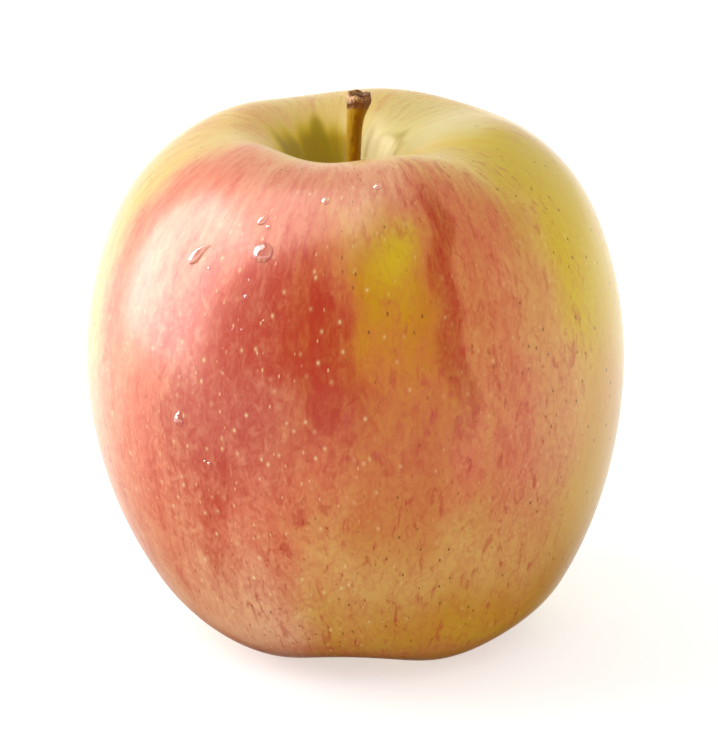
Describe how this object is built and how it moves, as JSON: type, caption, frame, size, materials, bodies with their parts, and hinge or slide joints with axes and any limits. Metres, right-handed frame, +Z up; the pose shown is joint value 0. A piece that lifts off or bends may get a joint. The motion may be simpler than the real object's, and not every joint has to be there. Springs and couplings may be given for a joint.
{
  "type": "whole apple",
  "caption": "Whole ripe apple with an upright stem in its top hollow, a dried calyx underneath and small water drops on its blushed skin.",
  "frame": {"origin": "on the surface that the fruit stands on, under the middle of its outer box", "axes": "+Z up along the core, from the calyx to the stem; -Y is the side with the water drops and the long yellow stripe"},
  "size_m": [0.08, 0.08, 0.0824],
  "materials": {
    "skin": "smooth waxy skin, yellow with a red blush and fine streaks, with clear water drops",
    "stem": "olive brown bark, dark and torn at the end",
    "calyx": "dry and dull"
  },
  "bodies": {
    "root": {"fruit": "skin", "stem": "stem", "calyx": "calyx"}
  },
  "joints": []
}
